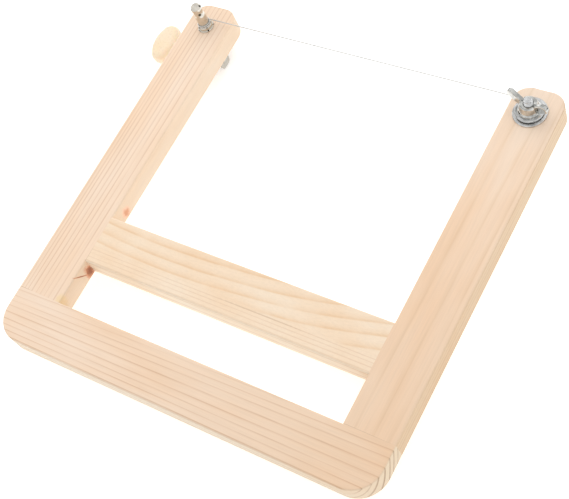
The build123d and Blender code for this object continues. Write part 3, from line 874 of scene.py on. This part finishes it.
def turned_beech(fittings):
    """Turned beech: pinkish tan, with short dark flecks along the dowel."""
    material, tree, shader, place = new_material("turned_beech")
    grain_noise(
        tree, shader, place, cycles_per_mm=1.5, roughness=(0.5, 0.65), height_mm=0.02, stretch=(0.3, 0.3, 1)
    )
    flecks_per_mm = 1.1
    flecks = add_node(tree, "ShaderNodeTexVoronoi", {"Vector": place, "Scale": flecks_per_mm})
    tone = add_node(
        tree,
        "ShaderNodeValToRGB",
        {0: flecks},
        stops=[(0.12, shade(fittings.beech, 0.55)), (0.25, fittings.beech)],
    )
    tree.links.new(tone.outputs[0], shader.inputs["Base Color"])
    return material


# --- rolled thread ---------------------------------------------------------------


def thread_tree():
    """Geometry nodes that wind a thread's ridge about the Z axis."""
    tree = bpy.data.node_groups.new("rolled_thread", "GeometryNodeTree")
    for name in ("Radius", "Pitch", "Depth", "Length"):
        tree.interface.new_socket(name, in_out="INPUT", socket_type="NodeSocketFloat")
    tree.interface.new_socket("Place", in_out="INPUT", socket_type="NodeSocketVector")
    tree.interface.new_socket("Material", in_out="INPUT", socket_type="NodeSocketMaterial")
    tree.interface.new_socket("Thread", in_out="OUTPUT", socket_type="NodeSocketGeometry")
    sizes = add_node(tree, "NodeGroupInput").outputs
    points_per_turn = 40
    turns = add_node(tree, "ShaderNodeMath", {0: sizes["Length"], 1: sizes["Pitch"]}, operation="DIVIDE")
    ridge_radius = add_node(
        tree, "ShaderNodeMath", {0: sizes["Radius"], 1: sizes["Depth"]}, operation="SUBTRACT"
    )
    helix = add_node(
        tree,
        "GeometryNodeCurveSpiral",
        {
            "Resolution": points_per_turn,
            "Rotations": turns,
            "Start Radius": ridge_radius,
            "End Radius": ridge_radius,
            "Height": sizes["Length"],
        },
    )
    upright = add_node(tree, "GeometryNodeSetCurveNormal", {"Curve": helix}, mode="Z_UP")
    ridge = add_node(tree, "GeometryNodeCurvePrimitiveCircle", {"Resolution": 4, "Radius": sizes["Depth"]})
    thread = add_node(
        tree, "GeometryNodeCurveToMesh", {"Curve": upright, "Profile Curve": ridge, "Fill Caps": True}
    )
    flat = add_node(tree, "GeometryNodeSetShadeSmooth", {"Geometry": thread, "Shade Smooth": False})
    placed = add_node(tree, "GeometryNodeTransform", {"Geometry": flat, "Translation": sizes["Place"]})
    solid = add_node(tree, "GeometryNodeRealizeInstances", {"Geometry": placed})
    dressed = add_node(tree, "GeometryNodeSetMaterial", {"Geometry": solid, "Material": sizes["Material"]})
    add_node(tree, "NodeGroupOutput", {"Thread": dressed})
    return tree


# --- operators -------------------------------------------------------------------


class BUTTERSLICER_OT_pine_frame(bpy.types.Operator):
    """Finish the four pine strips of the frame"""

    bl_idname = "butter_slicer.pine_frame"
    bl_label = "Pine Frame"

    def execute(self, context):
        pine = context.scene.butter_slicer.pine
        smooth_stand_in("bottom_rail", rail_pine(pine))
        smooth_stand_in("left_arm", left_arm_pine(pine))
        smooth_stand_in("right_arm", right_arm_pine(pine))
        smooth_stand_in("crossbar", crossbar_pine(pine))
        return {"FINISHED"}


class BUTTERSLICER_OT_dowels(bpy.types.Operator):
    """Finish the beech dowels inside the glued joints"""

    bl_idname = "butter_slicer.dowels"
    bl_label = "Dowels"

    def execute(self, context):
        beech = turned_beech(context.scene.butter_slicer.fittings)
        for joint in ("corner", "crossbar"):
            for side in ("left", "right"):
                dress(f"{joint}_dowels_{side}", beech)
        return {"FINISHED"}


class BUTTERSLICER_OT_machine_head(bpy.types.Operator):
    """Finish the plate, ferrule, post, worm and wheel of the machine head"""

    bl_idname = "butter_slicer.machine_head"
    bl_label = "Machine Head"

    def execute(self, context):
        fittings = context.scene.butter_slicer.fittings
        nickel = nickel_plate(fittings)
        for node in ("tuner_plate", "tuner_plate_screws", "wheel_screw", "worm_shaft"):
            smooth_stand_in(node, nickel)
        chrome = polished_chrome(fittings)
        for node in ("string_post", "post_ferrule"):
            smooth_stand_in(node, chrome)
        smooth_stand_in("worm_wheel", machined_brass(fittings))
        return {"FINISHED"}


class BUTTERSLICER_OT_button(bpy.types.Operator):
    """Finish the cream button of the machine head"""

    bl_idname = "butter_slicer.button"
    bl_label = "Button"

    def execute(self, context):
        smooth_stand_in("tuner_button", cream_plastic(context.scene.butter_slicer.fittings))
        return {"FINISHED"}


class BUTTERSLICER_OT_wire(bpy.types.Operator):
    """Finish the cutting wire and its turns on the post"""

    bl_idname = "butter_slicer.wire"
    bl_label = "Cutting Wire"

    def execute(self, context):
        steel = drawn_steel(context.scene.butter_slicer.fittings)
        smooth_stand_in("cutting_wire", steel, 60)
        smooth_stand_in("wire_windings", steel, 60)
        return {"FINISHED"}


class BUTTERSLICER_OT_bolt(bpy.types.Operator):
    """Finish the clamp bolt and wind its thread"""

    bl_idname = "butter_slicer.bolt"
    bl_label = "Clamp Bolt"

    def execute(self, context):
        fittings = context.scene.butter_slicer.fittings
        zinc = zinc_plate(fittings)
        low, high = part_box("clamp_bolt")
        middle = (low + high) / 2
        head_washer_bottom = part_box("head_washer")[0].z
        top_chamfer = 0.5 * MM
        bolt_radius = self.shank_radius(middle, head_washer_bottom)
        # The core is slightly thicker than the ridge's middle line, so no gap shows there.
        core_radius = bolt_radius - 0.9 * fittings.thread_depth
        margin = 0.01 * MM
        shape = merged_node("clamp_bolt")
        for vertex in shape.verts:
            offset = Vector((vertex.co.x - middle.x, vertex.co.y - middle.y))
            between_ends = head_washer_bottom - margin < vertex.co.z < high.z - margin
            if between_ends and offset.length < bolt_radius + margin:
                offset *= core_radius / bolt_radius
                vertex.co.x = middle.x + offset.x
                vertex.co.y = middle.y + offset.y
        stand_in(smooth_piece("clamp_bolt_body", shape), zinc, "clamp_bolt")

        thread = bpy.data.objects.new("clamp_bolt_thread", bpy.data.meshes.new("clamp_bolt_thread"))
        context.scene.collection.objects.link(thread)
        tree = thread_tree()
        modifier = thread.modifiers.new("thread", "NODES")
        modifier.node_group = tree
        bottom = head_washer_bottom + fittings.thread_pitch
        values = {
            "Radius": bolt_radius,
            "Pitch": fittings.thread_pitch,
            "Depth": fittings.thread_depth,
            "Length": high.z - top_chamfer - bottom,
            "Place": (middle.x, middle.y, bottom),
            "Material": zinc,
        }
        for item in tree.interface.items_tree:
            if item.in_out == "INPUT":
                modifier[item.identifier] = values[item.name]
        bake_modifiers(thread)
        stand_in(thread, zinc, "clamp_bolt")
        return {"FINISHED"}

    @staticmethod
    def shank_radius(middle, bottom):
        """Radius of the bolt's shank, from its vertices above the head."""
        reaches = [
            Vector((vertex.co.x - middle.x, vertex.co.y - middle.y)).length
            for vertex in NODES["clamp_bolt"].data.vertices
            if vertex.co.z > bottom + MM
        ]
        return max(reaches)


class BUTTERSLICER_OT_washers(bpy.types.Operator):
    """Finish the three washers of the clamp"""

    bl_idname = "butter_slicer.washers"
    bl_label = "Washers"

    def execute(self, context):
        zinc = zinc_plate(context.scene.butter_slicer.fittings)
        for node in ("head_washer", "large_washer", "clamp_washer"):
            smooth_stand_in(node, zinc)
        return {"FINISHED"}


class BUTTERSLICER_OT_wing_nut(bpy.types.Operator):
    """Finish the cast wing nut, with the soft edges of its mould"""

    bl_idname = "butter_slicer.wing_nut"
    bl_label = "Wing Nut"

    def execute(self, context):
        fittings = context.scene.butter_slicer.fittings
        piece = mesh_piece("wing_nut_casting", merged_node("wing_nut"))
        voxels = piece.modifiers.new("voxels", "REMESH")
        voxels.mode = "VOXEL"
        voxels.voxel_size = fittings.cast_voxel
        voxels.use_smooth_shade = True
        soften = piece.modifiers.new("soften", "SMOOTH")
        soften.factor = 0.5
        soften.iterations = 4
        bake_modifiers(piece)
        stand_in(piece, plated_casting(fittings), "wing_nut")
        return {"FINISHED"}


class BUTTERSLICER_OT_stage(bpy.types.Operator):
    """Set up the floor, the soft light and the camera"""

    bl_idname = "butter_slicer.stage"
    bl_label = "Stage"

    def execute(self, context):
        studio = context.scene.butter_slicer.studio
        context.scene.view_settings.view_transform = "Standard"
        self.lay_floor(context, studio)
        self.light_world(context, studio)
        key_offset = Vector((-0.35, 0.45, 0.65))
        fill_offset = Vector((0.68, -0.1, 0.24))
        self.hang_lamp(context, "key_softbox", key_offset, 1.4, studio.key_power)
        self.hang_lamp(context, "fill_softbox", fill_offset, 0.3, studio.fill_power)
        self.stand_flags(context)
        self.aim_camera(context, studio)
        return {"FINISHED"}

    @staticmethod
    def background_rays(tree):
        """1 for rays that show the background: straight to the camera, or by way of metal or glass."""
        path = add_node(tree, "ShaderNodeLightPath")
        mirrored = add_node(
            tree,
            "ShaderNodeMath",
            {0: path.outputs["Is Glossy Ray"], 1: path.outputs["Is Transmission Ray"]},
            operation="MAXIMUM",
        )
        return add_node(
            tree, "ShaderNodeMath", {0: path.outputs["Is Camera Ray"], 1: mirrored}, operation="MAXIMUM"
        )

    def lay_floor(self, context, studio):
        """Lit white floor under the object, which shows as white except in its shadow."""
        half = 2.5
        level = CAD_LOW.z - studio.floor_gap
        shape = bmesh.new()
        bmesh.ops.create_grid(shape, x_segments=1, y_segments=1, size=half)
        bmesh.ops.translate(shape, verts=shape.verts, vec=(0, 0, level))
        floor = mesh_piece("studio_floor", shape)
        material = bpy.data.materials.new("matt_white_floor")
        material.use_nodes = True
        tree = material.node_tree
        tree.nodes.clear()
        paper = add_node(tree, "ShaderNodeBsdfDiffuse", {"Color": to_linear("#F4F4F4")})
        glow = add_node(tree, "ShaderNodeEmission", {"Strength": studio.floor_glow})
        lit = add_node(tree, "ShaderNodeAddShader", {0: paper, 1: glow})
        add_node(tree, "ShaderNodeOutputMaterial", {"Surface": lit})
        floor.data.materials.append(material)

    def light_world(self, context, studio):
        """White surroundings that light the object evenly."""
        world = bpy.data.worlds.new("studio_world")
        context.scene.world = world
        world.use_nodes = True
        tree = world.node_tree
        tree.nodes.clear()
        sky = add_node(tree, "ShaderNodeBackground", {"Color": grey(1), "Strength": studio.sky_strength})
        backdrop = add_node(tree, "ShaderNodeBackground", {"Color": grey(1), "Strength": 1.0})
        seen = add_node(tree, "ShaderNodeMixShader", {0: self.background_rays(tree), 1: sky, 2: backdrop})
        add_node(tree, "ShaderNodeOutputWorld", {"Surface": seen})

    def hang_lamp(self, context, name, offset, size, power):
        """A square soft lamp, at an offset from the object's middle that it points at."""
        light = bpy.data.lights.new(name, "AREA")
        light.energy = power
        light.size = size
        lamp = bpy.data.objects.new(name, light)
        context.scene.collection.objects.link(lamp)
        target = (CAD_LOW + CAD_HIGH) / 2
        lamp.location = target + offset
        lamp.rotation_euler = (target - lamp.location).to_track_quat("-Z", "Y").to_euler()
        lamp.visible_glossy = False

    def stand_flags(self, context):
        """Dark cards that only bright metal sees, so that its edges are drawn."""
        cloth = bpy.data.materials.new("black_flag_cloth")
        cloth.use_nodes = True
        tree = cloth.node_tree
        tree.nodes.clear()
        matt = add_node(tree, "ShaderNodeBsdfDiffuse", {"Color": to_linear("#1C1C1E")})
        add_node(tree, "ShaderNodeOutputMaterial", {"Surface": matt})
        target = (CAD_LOW + CAD_HIGH) / 2
        # Each card's name, its place from the object's middle, its length and its width.
        cards = [
            ("flag_front", (0.30, -0.19, 0.53), 0.18, 0.18),
            ("flag_above", (-0.20, 0.36, 0.74), 0.44, 0.06),
            ("flag_left", (-0.62, -0.12, 0.22), 0.30, 0.20),
            ("flag_back", (0.25, 0.62, 0.16), 0.30, 0.14),
        ]
        low_cards = 7
        ring_radius = 0.6
        first_angle = math.radians(25)
        for index in range(low_cards):
            angle = first_angle + math.tau * index / low_cards
            offset = (ring_radius * math.cos(angle), ring_radius * math.sin(angle), 0.07)
            cards.append((f"flag_low_{index}", offset, 0.28, 0.10))
        for name, offset, length, width in cards:
            away = Vector(offset)
            turn = (-away).to_track_quat("Z", "Y").to_matrix().to_4x4()
            shape = bmesh.new()
            bmesh.ops.create_grid(shape, x_segments=1, y_segments=1, size=0.5)
            bmesh.ops.scale(shape, verts=shape.verts, vec=(length, width, 1))
            bmesh.ops.transform(shape, verts=shape.verts, matrix=turn)
            bmesh.ops.translate(shape, verts=shape.verts, vec=target + away)
            flag = mesh_piece(name, shape)
            flag.data.materials.append(cloth)
            flag.visible_camera = False
            flag.visible_diffuse = False
            flag.visible_shadow = False
            flag.visible_transmission = False
            flag.visible_volume_scatter = False

    def aim_camera(self, context, studio):
        """Camera high on the right front, rolled as a hand-held one."""
        location = Vector((300.75, -103.64, 524.34)) * MM
        aim = Vector((15.57, 84.43, 13.0)) * MM
        roll = math.radians(-31.898)
        lens = bpy.data.cameras.new("camera")
        lens.lens = studio.lens
        lens.sensor_width = 36.0
        lens.clip_start = 10 * MM
        camera = bpy.data.objects.new("camera", lens)
        context.scene.collection.objects.link(camera)
        level = (aim - location).to_track_quat("-Z", "Y")
        camera.location = location
        camera.rotation_mode = "QUATERNION"
        camera.rotation_quaternion = level @ Quaternion((0, 0, 1), roll)
        context.scene.camera = camera


OPERATORS = (
    BUTTERSLICER_OT_pine_frame,
    BUTTERSLICER_OT_dowels,
    BUTTERSLICER_OT_machine_head,
    BUTTERSLICER_OT_button,
    BUTTERSLICER_OT_wire,
    BUTTERSLICER_OT_bolt,
    BUTTERSLICER_OT_washers,
    BUTTERSLICER_OT_wing_nut,
    BUTTERSLICER_OT_stage,
)


class BUTTERSLICER_PT_sidebar(bpy.types.Panel):
    """Settings and pieces of the butter slicer"""

    bl_label = "Butter Slicer"
    bl_idname = "BUTTERSLICER_PT_sidebar"
    bl_space_type = "VIEW_3D"
    bl_region_type = "UI"
    bl_category = "Butter Slicer"

    def draw(self, context):
        settings = context.scene.butter_slicer
        for group in (settings.pine, settings.fittings, settings.studio):
            box = self.layout.box()
            for name in group.__annotations__:
                box.prop(group, name)
        for operator in OPERATORS:
            self.layout.operator(operator.bl_idname)


CLASSES = (
    PineSettings,
    FittingSettings,
    StudioSettings,
    ButterSlicerSettings,
    *OPERATORS,
    BUTTERSLICER_PT_sidebar,
)


def register():
    """Adds the settings, operators and panel."""
    for cls in CLASSES:
        bpy.utils.register_class(cls)
    bpy.types.Scene.butter_slicer = bpy.props.PointerProperty(
        type=ButterSlicerSettings, name="Butter slicer", description="Sizes and colours of the butter slicer"
    )


def unregister():
    """Takes the settings, operators and panel away."""
    del bpy.types.Scene.butter_slicer
    for cls in reversed(CLASSES):
        bpy.utils.unregister_class(cls)


def main():
    """Builds every piece and the stage."""
    register()
    bpy.ops.butter_slicer.pine_frame()
    bpy.ops.butter_slicer.dowels()
    bpy.ops.butter_slicer.machine_head()
    bpy.ops.butter_slicer.button()
    bpy.ops.butter_slicer.wire()
    bpy.ops.butter_slicer.bolt()
    bpy.ops.butter_slicer.washers()
    bpy.ops.butter_slicer.wing_nut()
    bpy.ops.butter_slicer.stage()


if __name__ == "__main__":
    main()
